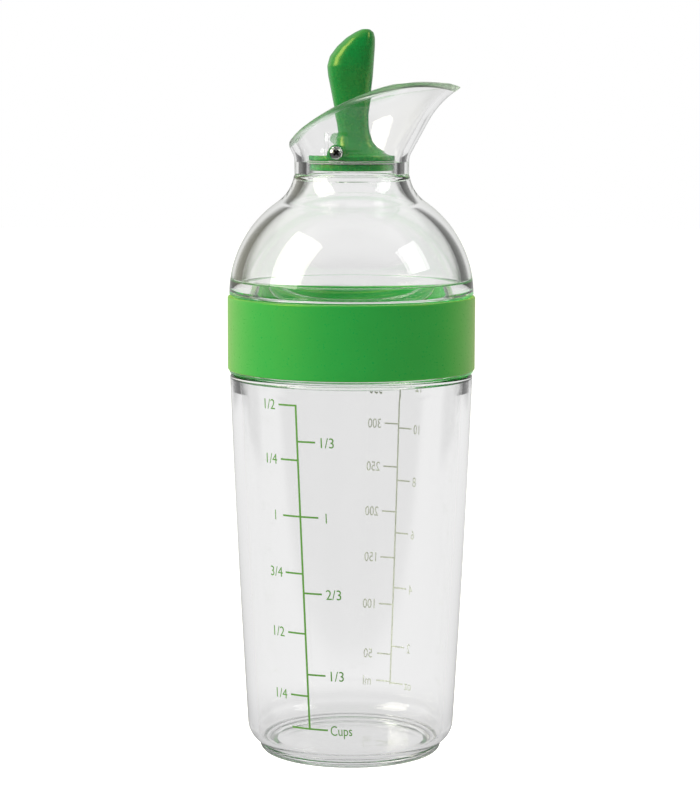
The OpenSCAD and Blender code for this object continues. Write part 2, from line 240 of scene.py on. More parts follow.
def lathe(name, profile, steps=256, shift=None, sharp=32.0):
    """Turns a closed section about Z. A section that starts and ends on the axis gets poles there.
    shift(angles, r, z) moves a ring's points outward, for threads."""
    poles = profile[0][0] == 0 and profile[-1][0] == 0
    ring_points = profile[1:-1] if poles else profile
    angles = np.linspace(0, 2 * math.pi, steps, endpoint=False)
    c, s = np.cos(angles), np.sin(angles)
    verts, faces = [], []
    for r, z in ring_points:
        radii = np.full(steps, float(r))
        if shift is not None:
            radii = radii + shift(angles, r, z)
        verts.append(np.stack([radii * c, radii * s, np.full(steps, float(z))], axis=1))
    verts = np.concatenate(verts)
    n = len(ring_points)
    spans = range(n - 1) if poles else range(n)
    for i in spans:
        a, b = i * steps, ((i + 1) % n) * steps
        for k in range(steps):
            m = (k + 1) % steps
            faces.append((a + k, a + m, b + m, b + k))
    if poles:
        verts = np.concatenate([verts, [(0, 0, profile[0][1]), (0, 0, profile[-1][1])]])
        first, last, top = len(verts) - 2, len(verts) - 1, (n - 1) * steps
        for k in range(steps):
            m = (k + 1) % steps
            faces.append((first, m, k))
            faces.append((last, top + k, top + m))
    return face_outward(add_object(name, verts, faces, sharp))


def modified(obj, *settings):
    """Adds modifiers given as (type, {value: ...}), applies them and keeps the object's name."""
    for kind, values in settings:
        mod = obj.modifiers.new(kind, kind)
        for key, value in values.items():
            setattr(mod, key, value)
    graph = bpy.context.evaluated_depsgraph_get()
    mesh = bpy.data.meshes.new_from_object(obj.evaluated_get(graph))
    obj.modifiers.clear()
    old = obj.data
    obj.data = mesh
    bpy.data.meshes.remove(old)
    return obj


def combine(obj, others, operation):
    """Unites others with obj, or cuts them from it, and removes them."""
    for other in others:
        modified(obj, ("BOOLEAN", {"operation": operation, "object": other, "solver": "MANIFOLD"}))
        bpy.data.objects.remove(other)
    return obj


# Bottle

def side_r(z, top=SHOULDER_Z):
    """Radius of the body's side at a height. It widens from the corner up to top, with a bow."""
    t = (z - CORNER_Z) / (top - CORNER_Z)
    return BASE_R + (TOP_R - BASE_R) * t + 4 * BOW * t * (1 - t)


def inner_side(z0, z1, steps=30):
    """The body's inside from z0 down to z1, as a straight line with the body's slight bow."""
    out = []
    for i in range(steps + 1):
        t = i / steps
        r = side_r(z0) + (side_r(z1) - side_r(z0)) * t - WALL + 4 * BOW * t * (1 - t)
        out.append((r, z0 + (z1 - z0) * t))
    return out


def outer_r(z):
    """Radius of the body's outside as it is built, for the print that lies on it."""
    return side_r(z, SHOULDER_Z - SHOULDER_ROUND)


def outer_side():
    return [(outer_r(z), z) for z in np.linspace(CORNER_Z, SHOULDER_Z - SHOULDER_ROUND, 60)]


def thread_shift(z0, turns, sign):
    """How far the helical ridges stand off their wall at each angle of a ring: out of it where sign
    is 1, into the bore where it is -1."""
    def shift(angles, z):
        out = np.zeros(len(angles))
        for s in range(THREAD_STARTS):
            for turn in (-1, 0, 1):
                a = (angles - s * 2 * math.pi / THREAD_STARTS) % (2 * math.pi) + turn * 2 * math.pi
                part = a / (2 * math.pi * turns)
                dz = np.abs(z - (z0 + THREAD_LEAD * a / (2 * math.pi)))
                flank = (THREAD_ROOT / 2 - dz) / ((THREAD_ROOT - THREAD_CREST) / 2)
                fade = np.clip(np.minimum(part, 1 - part) / THREAD_FADE + 0.1, 0, 1)
                h = np.clip(flank, 0, 1) * fade * THREAD_H * ((part >= 0) & (part <= 1))
                out = np.maximum(out, h)
        return out * sign
    return shift


def bottle_shell():
    land_in = FOOT_R - FOOT_ROUND - LAND_W
    punt_r = land_in - PUNT_H - PUNT_EDGE
    corner_c = (side_r(CORNER_Z) - CORNER_R, CORNER_Z)
    in_corner_z = FLOOR_Z + INNER_CORNER_R
    in_floor_r = side_r(in_corner_z) - WALL
    under_z = SHOULDER_Z - SHOULDER_T
    in_top_r = side_r(under_z) - WALL
    neck_ends = [(FINISH_R, SHOULDER_Z + FINISH_CHAMFER), (FINISH_R, RIM_Z - RIM_ROUND)]
    outer = [(0, PUNT_H), (PUNT_RING_R, PUNT_H), (punt_r, PUNT_H)]
    outer += arc((punt_r, PUNT_H - PUNT_ROUND), PUNT_ROUND, 90, 45, 5)[1:]
    outer += arc((land_in + 0.4, LAND_ROUND), LAND_ROUND, 225, 270, 4)
    outer += arc((FOOT_R - FOOT_ROUND, FOOT_ROUND), FOOT_ROUND, -90, 0, 16)
    outer += arc((FOOT_R + FOOT_FILLET, FOOT_H + 0.15), FOOT_FILLET, 180, 100, 5)
    outer += arc(corner_c, CORNER_R, -64, 0, 24)[1:]
    outer += outer_side()[1:]
    outer += arc((TOP_R - SHOULDER_ROUND, SHOULDER_Z - SHOULDER_ROUND), SHOULDER_ROUND, 0, 90, 8)[1:]
    outer += [(FINISH_R + FINISH_CHAMFER, SHOULDER_Z)] + dense(neck_ends, THREAD_STEP)
    outer += arc((FINISH_R - RIM_ROUND, RIM_Z - RIM_ROUND), RIM_ROUND, 0, 90, 8)[1:]
    outer += arc((MOUTH_R + RIM_ROUND, RIM_Z - RIM_ROUND), RIM_ROUND, 90, 180, 8)
    outer += arc((MOUTH_R + UNDER_ROUND, under_z + UNDER_ROUND), UNDER_ROUND, 180, 270, 4)
    inner = arc((in_top_r - UNDER_ROUND, under_z - UNDER_ROUND), UNDER_ROUND, 90, 0, 4)
    inner += inner_side(under_z - UNDER_ROUND, in_corner_z)[1:]
    inner += arc((in_floor_r - INNER_CORNER_R, in_corner_z), INNER_CORNER_R, 0, -90, 20)[1:]
    profile = outer + inner + [(FLOOR_RING_R, FLOOR_Z), (0, FLOOR_Z)]
    ridge = thread_shift(SHOULDER_Z + BOTTLE_THREAD_H, BOTTLE_TURNS, 1)

    def shift(angles, r, z):
        if abs(r - FINISH_R) > 0.01 or z > RIM_Z - 0.5:
            return np.zeros(len(angles))
        return ridge(angles, z)
    return lathe("bottle_shell", profile, 320, shift)


# Lid

def skirt_ring():
    lip_z, top_z, plug_z = SKIRT_Z + LIP_H, DOME_Z - WELD_GAP, FLANGE_Z - PLUG_H
    profile = dense([(SKIRT_BORE_R, FLANGE_Z), (SKIRT_BORE_R, SKIRT_Z + 0.4)], THREAD_STEP)
    profile += arc((SKIRT_BORE_R + 0.4, SKIRT_Z + 0.4), 0.4, 180, 270, 4)
    profile += arc((DOME_R - 0.3, SKIRT_Z + 0.3), 0.3, -90, 0, 5)
    profile += [(DOME_R, lip_z - LIP_GAP), (SKIRT_R, lip_z - LIP_GAP)]
    profile += [(SKIRT_R, DOME_Z - BAND_DROP), (SKIRT_R, top_z)]
    profile += [(DOME_IN_R, top_z), (PLUG_IN_R + 0.3, top_z), (PLUG_IN_R, DOME_Z - 0.3)]
    profile += [(PLUG_IN_R, plug_z - 0.2)]
    profile += arc((PLUG_IN_R + 0.6, plug_z), 0.6, 180, 360, 10)
    profile += [(PLUG_R, FLANGE_Z)]
    ridge = thread_shift(SHOULDER_Z + LID_THREAD_H, LID_TURNS, -1)

    def shift(angles, r, z):
        if abs(r - SKIRT_BORE_R) > 0.01 or not SKIRT_Z + 0.5 < z < FLANGE_Z - 0.1:
            return np.zeros(len(angles))
        return ridge(angles, z)
    under_dome = (DOME_IN_R, SKIRT_R, DOME_Z - 0.1, DOME_Z)
    under_band = (SKIRT_R - 0.02, SKIRT_R + 0.02, lip_z - 0.1, DOME_Z - 0.4)
    return welded(lathe("skirt_ring", profile, 320, shift), [under_dome, under_band])


def band_sleeve():
    z0, z1 = SKIRT_Z + LIP_H, DOME_Z - BAND_DROP
    chamfer_r = SKIRT_R + BAND_CHAMFER
    profile = [(SKIRT_R + WELD_GAP, z0 + BAND_CHAMFER), (chamfer_r, z0)]
    profile += arc((BAND_R - BAND_ROUND, z0 + BAND_ROUND), BAND_ROUND, -90, 0, 10)
    profile += dense([(BAND_R, z0 + 0.6), (BAND_R, z1 - 0.6)], 1.5)
    profile += arc((BAND_R - BAND_ROUND, z1 - BAND_ROUND), BAND_ROUND, 0, 90, 10)
    profile += [(chamfer_r, z1), (SKIRT_R + WELD_GAP, z1 - BAND_CHAMFER)]
    # Material 1 here is the band's inside glow, painted light where the band meets the clear skirt
    return welded(lathe("band_sleeve", profile, 256), [(SKIRT_R, SKIRT_R + 0.02, z0, z1)])


def rounded_section(r0, r1, z0, z1, e, steps):
    """A ring's section with its four corners rounded, from the lower outer corner on."""
    corners = ((r1 - e, z0 + e, -90), (r1 - e, z1 - e, 0), (r0 + e, z1 - e, 90), (r0 + e, z0 + e, 180))
    return [p for r, z, a in corners for p in arc((r, z), e, a, a + 90, steps)]


def gasket_ring():
    r0, r1 = PLUG_R + GASKET_IN_GAP, SKIRT_BORE_R - GASKET_OUT_GAP
    section = rounded_section(r0, r1, GASKET_Z, GASKET_Z + GASKET_T, GASKET_ROUND, 5)
    return lathe("gasket_ring", section, 192)


# Dome

SWEEP_R = 12.0
SEAM_DROP = 1.5
SWEEP_C = (NECK_R + SWEEP_R, SEAM_Z + SEAM_DROP)
SWEEP_IN = DOME_R - NECK_R - SWEEP_R
SWEEP_H = SEAM_Z - DOME_Z + SEAM_DROP
DOME_ARC_R = (SWEEP_H ** 2 + SWEEP_IN ** 2 - SWEEP_R ** 2) / (2 * (SWEEP_R + SWEEP_IN))
DOME_C = (DOME_R - DOME_ARC_R, DOME_Z)
DOME_WALL = 3.4
# Height of the thick ring at the dome's foot, and the roundings at its top
WELD_RING_T = 3.8
WELD_RING_FILLET = 0.5
WELD_RING_ROUND = 0.3
# Radius of the shelf that the spout's spigot stands on
SHELF_R = SWEEP_C[0] - math.sqrt((SWEEP_R + DOME_WALL) ** 2 - (SEAM_DROP + SPIGOT_H) ** 2)


def dome_line(wall, start):
    """The dome's side and its sweep into the neck, offset inward by wall, from a height up."""
    turn = math.degrees(math.atan2(SWEEP_H, SWEEP_C[0] - DOME_C[0]))
    r0, r1 = DOME_ARC_R - wall, SWEEP_R + wall
    first = math.degrees(math.asin((start - DOME_Z) / r0))
    last = 180 + math.degrees(math.asin(SEAM_DROP / r1))
    return arc(DOME_C, r0, first, turn, 48) + arc(SWEEP_C, r1, turn + 180, last, 28)[1:]


def dome_shell():
    ring_z, shelf_z = DOME_Z + WELD_RING_T, SEAM_Z - SPIGOT_H
    low_z, top_z = DOME_Z + WELD_GAP, SEAM_Z - WELD_GAP
    socket_r, socket_z = SPIGOT_R + WELD_GAP, shelf_z - WELD_GAP
    outer = [p for p in dome_line(0, DOME_Z + 0.25) if p[1] < SEAM_Z - SEAM_GAP]
    inner = [p for p in dome_line(DOME_WALL, ring_z + 0.6) if p[1] < shelf_z - 0.2]
    profile = [(SKIRT_R, low_z), (DOME_R - 0.2, low_z)] + outer
    profile += [(NECK_R - 0.15, top_z), (socket_r, top_z), (socket_r, socket_z), (SHELF_R, socket_z)]
    profile += inner[::-1]
    fillet = (inner[0][0] - WELD_RING_FILLET, ring_z + WELD_RING_FILLET)
    profile += arc(fillet, WELD_RING_FILLET, 0, -90, 6)[1:]
    edge = (DOME_IN_R + WELD_RING_ROUND, ring_z - WELD_RING_ROUND)
    profile += arc(edge, WELD_RING_ROUND, 90, 180, 5)
    profile += [(DOME_IN_R, DOME_Z + 0.3), (DOME_IN_R, low_z)]
    on_skirt = (DOME_IN_R, SKIRT_R, DOME_Z, DOME_Z + 0.1)
    under_spout = (SPIGOT_R, NECK_R - 0.1, SEAM_Z - 0.05, SEAM_Z)
    round_spigot = (SHELF_R, SPIGOT_R + 0.05, shelf_z - 0.05, SEAM_Z)
    return welded(lathe("dome_shell", profile, 288), [on_skirt, under_spout, round_spigot])


# Spout

CONE_ANGLE = 28.5
CONE_R = 6.0
MOUTH_SWEEP_R = 26.0
MOUTH_END = 66.0
CONE_START = (NECK_R + CONE_R * (1 - math.cos(rad(CONE_ANGLE))),
              SEAM_Z + NECK_H + CONE_R * math.sin(rad(CONE_ANGLE)))
CONE_END_Z = SEAM_Z + 16.3
CONE_END = (CONE_START[0] + (CONE_END_Z - CONE_START[1]) * math.tan(rad(CONE_ANGLE)), CONE_END_Z)
MOUTH_C = (CONE_END[0] + MOUTH_SWEEP_R * math.cos(rad(CONE_ANGLE)),
           CONE_END[1] - MOUTH_SWEEP_R * math.sin(rad(CONE_ANGLE)))
# The rim's three arcs in side view: place of its top, radii, and where one arc meets the next
RIM_TOP_X = 21.5
RIM_H = 28.55
RIM_FRONT_R = 36.0
RIM_MID_R = 76.0
RIM_BACK_R = 20.0
RIM_MID_A = 103
RIM_BACK_A = 126
# The rim's edge: height of its outer face, steps up it and over the crest, and how far below the
# rim the inner wall ends
RIM_FACE_H = 2.0
RIM_STEPS = 9
RIM_CREST_STEPS = 5
RIM_INNER_DROP = 0.35


def spout_line(wall):
    """The spout's profile from the neck's top to the mouth, offset inward by wall."""
    neck = arc((NECK_R + CONE_R, SEAM_Z + NECK_H), CONE_R + wall, 180, 180 - CONE_ANGLE, 24)
    mouth = arc(MOUTH_C, MOUTH_SWEEP_R + wall, 180 - CONE_ANGLE, 180 - MOUTH_END, 40)
    return neck + dense([neck[-1], mouth[0]], 0.8)[1:] + mouth[1:]


def rim_height(x):
    """Height of the arched rim at x: three arcs that meet without a corner."""
    front = (RIM_TOP_X, SEAM_Z + RIM_H - RIM_FRONT_R)
    a, b = rad(RIM_MID_A), rad(RIM_BACK_A)
    to_mid, to_back = RIM_MID_R - RIM_FRONT_R, RIM_MID_R - RIM_BACK_R
    mid = (front[0] - to_mid * math.cos(a), front[1] - to_mid * math.sin(a))
    back = (mid[0] + to_back * math.cos(b), mid[1] + to_back * math.sin(b))
    x = np.asarray(x, dtype=float)

    def on(centre, r):
        return centre[1] + np.sqrt(np.maximum(r * r - (x - centre[0]) ** 2, 1.0))
    mid_from = front[0] + RIM_FRONT_R * math.cos(a)
    back_from = mid[0] + RIM_MID_R * math.cos(b)
    behind = np.where(x > back_from, on(mid, RIM_MID_R), on(back, RIM_BACK_R))
    return np.where(x > mid_from, on(front, RIM_FRONT_R), behind)


def cut_line(line, theta, drop):
    """Where a profile line, turned to theta, meets the rim lowered by drop, and the line up to there."""
    pts = np.array(line)
    over = pts[:, 1] - (rim_height(pts[:, 0] * math.cos(theta)) - drop)
    hits = np.nonzero(over > 0)[0]
    if len(hits) == 0:
        return pts
    i = hits[0]
    t = over[i - 1] / (over[i - 1] - over[i])
    return np.concatenate([pts[:i], [pts[i - 1] + (pts[i] - pts[i - 1]) * t]])


def resample(pts, n):
    """n points evenly spaced along a line."""
    steps = np.linalg.norm(np.diff(pts, axis=0), axis=1)
    s = np.concatenate([[0], np.cumsum(steps)])
    t = np.linspace(0, s[-1], n)
    return np.stack([np.interp(t, s, pts[:, 0]), np.interp(t, s, pts[:, 1])], axis=1)


def bent(first, pull, last, steps):
    """Points from first towards last on a curve that bends towards pull, without last."""
    shares = [i / steps for i in range(steps)]
    return [first * (1 - t) ** 2 + pull * 2 * t * (1 - t) + last * t * t for t in shares]


def spout_shell():
    steps, rows = 288, 64
    spigot_z, spigot_r = SEAM_Z - SPIGOT_H, SPIGOT_R - WELD_GAP
    outer_line = dense(spout_line(0), 0.25)
    inner_line = dense(spout_line(SPOUT_WALL), 0.25)
    low = [(NECK_R - 0.15, SEAM_Z + WELD_GAP), (NECK_R, SEAM_Z + 0.15), (NECK_R, SEAM_Z + 2.6)]
    tail = [(NECK_R - SPOUT_WALL - 0.3, BORE_TOP_Z - 0.28), (BORE_R + 0.3, BORE_TOP_Z)]
    tail += [(BORE_R, BORE_TOP_Z - 0.3), (BORE_R, SEAM_Z), (BORE_R, spigot_z + 0.2)]
    tail += [(BORE_R + 0.2, spigot_z), (SHELF_R, spigot_z)]
    tail += [(spigot_r, spigot_z), (spigot_r, SEAM_Z + WELD_GAP)]
    rings = []
    for theta in np.linspace(0, 2 * math.pi, steps, endpoint=False):
        front = 0.5 + 0.5 * math.cos(theta)
        out_cut = cut_line(outer_line, theta, RIM_FACE_H)
        full = cut_line(outer_line, theta, 0)[-1]
        in_cut = cut_line(inner_line, theta, RIM_INNER_DROP)
        outer = resample(out_cut, rows)
        inner = resample(in_cut, rows)
        share = 0.34 - 0.26 * front ** 6
        crest = full + (cut_line(inner_line, theta, 0)[-1] - full) * share
        start, end = outer[-1], inner[-1]
        bend = start + (full - start) * 0.45
        over = crest + (end - crest) * 0.5 + np.array([0, 0.12])
        lip = bent(start, bend, crest, RIM_STEPS)[1:] + bent(crest, over, end, RIM_CREST_STEPS)
        line = np.concatenate([np.array(low), outer, np.array(lip), inner[::-1], np.array(tail)])
        r, z = line[:, 0], line[:, 1]
        rings.append(np.stack([r * math.cos(theta), r * math.sin(theta), z], axis=1))
    n = len(rings[0])
    verts = np.concatenate(rings)
    faces = []
    for k in range(steps):
        a, b = k * n, ((k + 1) % steps) * n
        for i in range(n):
            j = (i + 1) % n
            faces.append((a + i, b + i, b + j, a + j))
    shell = face_outward(add_object("spout_shell", verts, faces, None))
    add_pads(shell)
    on_dome = (SPIGOT_R - 0.05, NECK_R - 0.1, SEAM_Z, SEAM_Z + 0.05)
    round_spigot = (SHELF_R, SPIGOT_R, spigot_z, SEAM_Z + 0.02)
    welded(shell, [on_dome, round_spigot])
    mark_rim(shell, np.array(inner_line))
    shell.data.shade_smooth()
    shell.data.set_sharp_from_angle(angle=rad(38))
    return shell


def mark_rim(shell, line):
    """Gives material 2 to the rim's edge: faces just under the rim that stand off the inner wall or
    are close to the top."""
    for p in shell.data.polygons:
        x, y, z = np.array(p.center) / MM
        below = float(rim_height(x)) - z
        proud = math.hypot(x, y) - np.interp(z, line[:, 1], line[:, 0])
        if below < RIM_FACE_H and (below < 0.34 or proud > 0.08):
            p.material_index = 2


def rod(y0, y1, r, steps=48, z_lift=0.0):
    """A cylinder along Y about the lever's pivot, or a U prism if z_lift carries its top up."""
    outline = []
    for i in range(steps):
        a = 2 * math.pi * i / steps
        c, s = math.cos(a), math.sin(a)
        outline.append((PIVOT[0] + r * c, PIVOT[1] + r * s + (z_lift if s > 0 else 0.0)))
    verts = [(x, y0, z) for x, z in outline] + [(x, y1, z) for x, z in outline]
    n = steps
    faces = [tuple(range(n - 1, -1, -1)), tuple(range(n, 2 * n))]
    faces += [(k, (k + 1) % n, n + (k + 1) % n, n + k) for k in range(n)]
    return face_outward(add_object("rod", verts, faces, None))


def pad_shape(side):
    """The raised U round a screw: a prism that ends just outside the spout's flared wall."""
    front_r, low_z = NECK_R + PAD_OUT, SEAM_Z - 1
    prism = rod(*sorted((side * (BORE_R + SPOUT_WALL), side * PAD_REACH)), PAD_R, 64, PAD_ARM_H)
    line = [(r + PAD_PROUD * min(1.0, (PAD_FADE_Z - z) / PAD_FADE_H), z) for r, z in spout_line(0)]
    skin = [(0, low_z), (front_r, low_z), (front_r, SEAM_Z + 4.5)]
    skin += [p for p in line if p[0] > front_r] + [(0, MOUTH_C[1] + MOUTH_SWEEP_R)]
    combine(prism, [lathe("keep", skin, 192, None, None)], "INTERSECT")
    bevel = {"width": PAD_BEVEL * MM, "segments": 3, "limit_method": "ANGLE", "angle_limit": rad(60)}
    modified(prism, ("BEVEL", bevel))
    core_line = spout_line(SPOUT_WALL / 2)
    core = [(0, SEAM_Z - 2), (NECK_R - SPOUT_WALL / 2, SEAM_Z - 2)] + core_line
    core.append((0, core_line[-1][1]))
    combine(prism, [lathe("core", core, 192, None, None)], "DIFFERENCE")
    return prism


def add_pads(shell):
    """Joins the raised U and the inner pad to the spout on each side, and bores them for a screw."""
    for side in (-1, 1):
        inner_ends = sorted((side * INNER_PAD_Y, side * (NECK_R - PAD_BURY)))
        inner = rod(*inner_ends, BARREL_R - INNER_PAD_STEP, 64)
        combine(shell, [pad_shape(side), inner], "UNION")
        hole = rod(*sorted((side * 12, side * 21)), SHANK_HOLE_R, 40)
        bore = rod(*sorted((side * (PAD_Y - HEAD_H), side * 23)), HEAD_BORE_R, 64)
        combine(shell, [hole, bore], "DIFFERENCE")


# Stopper

LEVER_H = 37.1
WAIST_W = 9.6
# How much wider the paddle is than the waist
PADDLE_MORE_W = 5.4
# Power that squares the lever's oval sections, 1 for a plain oval
LEVER_SQUARE = 0.75
LEVER_VOXEL = 0.22
# Share of the lever's height, back and front in X, and width as a share between waist and paddle
LEVER_SECTIONS = [
    (-0.045, -6.6, 12.8, 0.4), (-0.012, -6.2, 12.2, 0.3), (0.014, -5.9, 10.0, 0.2), (0.048, -5.1, 7.8, 0.1),
    (0.095, -4.4, 6.4, 0.0), (0.167, -4.2, 5.5, 0.0), (0.225, -4.5, 5.2, 0.0), (0.33, -5.2, 5.1, 0.1),
    (0.5, -6.4, 5.9, 0.5), (0.62, -7.3, 6.4, 0.85),
    (0.7, -7.6, 6.6, 1.0), (0.78, -6.8, 6.8, 1.0), (0.86, -4.6, 7.0, 0.9), (0.93, -1.8, 7.0, 0.65),
    (0.975, 0.8, 6.6, 0.4), (1.0, 2.8, 5.4, 0.1),
]


def squared(value):
    return math.copysign(abs(value) ** LEVER_SQUARE, value)


def lever_arm():
    table = np.array(LEVER_SECTIONS)
    shares = np.linspace(table[0, 0], 1.0, 90)
    rows = np.stack([np.interp(shares, table[:, 0], table[:, i]) for i in range(1, 4)], axis=1)
    n = 64
    verts = []
    for share, (back, front, wide) in zip(shares, rows):
        mid, half = (back + front) / 2, (front - back) / 2
        w = (WAIST_W + PADDLE_MORE_W * wide) / 2
        for k in range(n):
            a = 2 * math.pi * k / n
            verts.append((mid + half * squared(math.cos(a)), w * squared(math.sin(a)),
                          PIVOT[1] + share * LEVER_H))
    top = len(shares) - 1
    faces = [tuple(range(n - 1, -1, -1)), tuple(top * n + k for k in range(n))]
    for i in range(top):
        for k in range(n):
            m = (k + 1) % n
            faces.append((i * n + k, i * n + m, (i + 1) * n + m, (i + 1) * n + k))
    return face_outward(add_object("lever_body", verts, faces, None))


def lever_body():
    arm = lever_arm()
    e = 0.35
    disc = [(0, DISC_Z), (DISC_R - e, DISC_Z)] + arc((DISC_R - e, DISC_Z + e), e, -90, 0, 5)
    disc += arc((DISC_R - e, DISC_Z + DISC_T - e), e, 0, 90, 5) + [(0, DISC_Z + DISC_T)]
    hub_r, hub_z = HUB_R - 0.05, DISC_Z + 1
    hub = [(0, RETAINER_Z), (hub_r, RETAINER_Z), (hub_r, hub_z), (0, hub_z)]
    barrel = rod(-BARREL_Y, BARREL_Y, BARREL_R, 64)
    parts = [lathe("disc", disc, 192, None, None), lathe("hub", hub, 96, None, None), barrel]
    combine(arm, parts, "UNION")
    modified(arm, ("REMESH", {"mode": "VOXEL", "voxel_size": LEVER_VOXEL * MM}),
             ("SMOOTH", {"factor": 0.5, "iterations": 10}))
    hole_y = BARREL_Y - SCREW_GRIP
    holes = [rod(*sorted((side * hole_y, side * 14)), SHANK_R, 32) for side in (-1, 1)]
    combine(arm, holes, "DIFFERENCE")
    arm.data.shade_smooth()
    arm.data.set_sharp_from_angle(angle=rad(50))
    return arm


def recess_bar(angle):
    """One arm of the cross recess in a screw's crown, narrower at the bottom."""
    c, s = math.cos(rad(angle)), math.sin(rad(angle))
    verts = []
    for half_l, half_w, z in ((*RECESS_LOW, PAD_Y - RECESS_DEPTH), (*RECESS_HIGH, PAD_Y + 0.1)):
        for u, v in ((-half_l, -half_w), (half_l, -half_w), (half_l, half_w), (-half_l, half_w)):
            verts.append((u * c - v * s, u * s + v * c, z))
    faces = [(3, 2, 1, 0), (4, 5, 6, 7)] + [(k, (k + 1) % 4, 4 + (k + 1) % 4, 4 + k) for k in range(4)]
    return face_outward(add_object("recess_bar", verts, faces, None))


def mark_recess_shade(screw):
    """Gives material 1, the recess's painted shade, to the bottom of the cross recess and the faces that go
    down to it.
    """
    bottom = PAD_Y - RECESS_DEPTH
    for p in screw.data.polygons:
        deep = min(abs(screw.data.vertices[i].co.y / MM) for i in p.vertices)
        if abs(deep - bottom) < 0.01 and abs(p.center.z / MM - PIVOT[1]) < RECESS_HIGH[0]:
            p.material_index = 1


def hinge_screw(name, side):
    """A screw of the hinge, with a crowned head and a cross recess (material 1, painted shade)."""
    crown_r = (HEAD_R ** 2 + CROWN ** 2) / (2 * CROWN)
    inner_y, head_y = BARREL_Y - SCREW_GRIP, PAD_Y - HEAD_H + SEAM_GAP
    profile = [(0, inner_y), (SHANK_R, inner_y), (SHANK_R, head_y)]
    profile += [(HEAD_R - HEAD_EDGE, head_y), (HEAD_R, head_y + HEAD_EDGE)]
    crown_from = math.degrees(math.acos(HEAD_R / crown_r))
    profile += arc((0, PAD_Y - crown_r), crown_r, crown_from, 90, 14)[:-1]
    screw = lathe(name, profile + [(0, PAD_Y)], 96, None, None)
    combine(screw, [recess_bar(45), recess_bar(135)], "DIFFERENCE")
    for v in screw.data.vertices:
        x, y, z = v.co
        v.co = (PIVOT[0] * MM + x, side * z, PIVOT[1] * MM + y)
    face_outward(screw)
    mark_recess_shade(screw)
    screw.data.shade_smooth()
    screw.data.set_sharp_from_angle(angle=rad(30))
    return screw


def seal_disc():
    e = 0.25
    z0, z1 = SEAL_Z, DISC_Z - 0.01
    profile = [(HUB_R, z0)] + arc((SEAL_R - e, z0 + e), e, -90, 0, 5)
    profile += arc((SEAL_R - e, z1 - e), e, 0, 90, 5) + [(HUB_R, z1)]
    return lathe("seal_disc", profile, 192)


def retainer_ring():
    e = 0.35
    z0, z1 = RETAINER_Z, SEAL_Z - 0.01
    profile = [(HUB_R, z0 + 0.1), (HUB_R + 0.1, z0)] + arc((RETAINER_R - e, z0 + e), e, -90, 0, 6)
    profile += arc((RETAINER_R - e, z1 - e), e, 0, 90, 6) + [(HUB_R, z1)]
    return lathe("retainer_ring", profile, 192)


# Printed scales: flat outlines in millimetres, then wrapped on the bottle

# Height of the ink's two faces above the bottle
PRINT_LOW = 0.01
PRINT_TOP = 0.05
LABEL_H = 3.2
# Height of the built-in font's capitals at size 1, and how far labels and fractions are condensed
FONT_CAPITAL_H = 0.729
LABEL_CONDENSE = 0.74
FRACTION_CONDENSE = 0.9
# A scale's lowest and highest point, and where it stands: degrees to the right of the front, or of
# the back as it is seen through the bottle, at a height, and degrees that it leans per millimetre
FRONT_SPAN = (12.7, 112.5)
FRONT_PLACE = (-26.35, 112.5, -0.0405)
BACK_SPAN = (13.4, 117.0)
BACK_PLACE = (25.4, 13.5, 0.0148)


def label_shape(text, height, condense):
    """The faces of a word in the built-in font, centred, with capitals of the given height."""
    curve = bpy.data.curves.new("label", "FONT")
    curve.body = text
    curve.size = 1.0
    curve.resolution_u = 4
    obj = bpy.data.objects.new("label", curve)
    bpy.context.scene.collection.objects.link(obj)
    graph = bpy.context.evaluated_depsgraph_get()
    mesh = bpy.data.meshes.new_from_object(obj.evaluated_get(graph))
    verts = np.array([v.co[:2] for v in mesh.vertices])
    faces = [tuple(p.vertices) for p in mesh.polygons]
    bpy.data.objects.remove(obj)
    bpy.data.meshes.remove(mesh)
    bpy.data.curves.remove(curve)
    verts = verts * (height / FONT_CAPITAL_H) * np.array([condense, 1.0])
    verts[:, 0] -= (verts[:, 0].min() + verts[:, 0].max()) / 2
    verts[:, 1] -= height / 2
    return verts, faces


def bar_shape(u0, u1, v0, v1):
    return np.array([(u0, v0), (u1, v0), (u1, v1), (u0, v1)], dtype=float), [(0, 1, 2, 3)]


def wrapped_print(name, shapes, place):
    """One thin closed mesh of many flat shapes, each cut fine enough to follow the bottle.
    place(u, v, lift) gives a point on the bottle's outside."""
    bm = bmesh.new()
    for verts, faces in shapes:
        points = [bm.verts.new((u, v, 0)) for u, v in verts]
        for f in faces:
            bm.faces.new([points[i] for i in f])
    bmesh.ops.triangulate(bm, faces=bm.faces)
    for _ in range(8):
        long_edges = [e for e in bm.edges if e.calc_length() > 1.0]
        if not long_edges:
            break
        bmesh.ops.subdivide_edges(bm, edges=long_edges, cuts=1)
        bmesh.ops.triangulate(bm, faces=bm.faces)
    bm.verts.index_update()
    flat = [(v.co.x, v.co.y) for v in bm.verts]
    tris = []
    for f in bm.faces:
        ids = [v.index for v in f.verts]
        tris.append(ids if f.normal.z > 0 else ids[::-1])
    edges = set()
    for t in tris:
        for i in range(3):
            edges.add((t[i], t[(i + 1) % 3]))
    border = [(a, b) for a, b in edges if (b, a) not in edges]
    bm.free()
    n = len(flat)
    verts = [place(u, v, PRINT_TOP) for u, v in flat] + [place(u, v, PRINT_LOW) for u, v in flat]
    faces = [tuple(t) for t in tris]
    under = [tuple(n + i for i in t[::-1]) for t in tris]
    walls = [(b, a, n + a, n + b) for a, b in border]
    obj = add_object(name, verts, faces + under + walls, 40)
    for p in obj.data.polygons:
        p.material_index = 1 if len(faces) <= p.index < len(faces) + len(under) else 0
    return obj


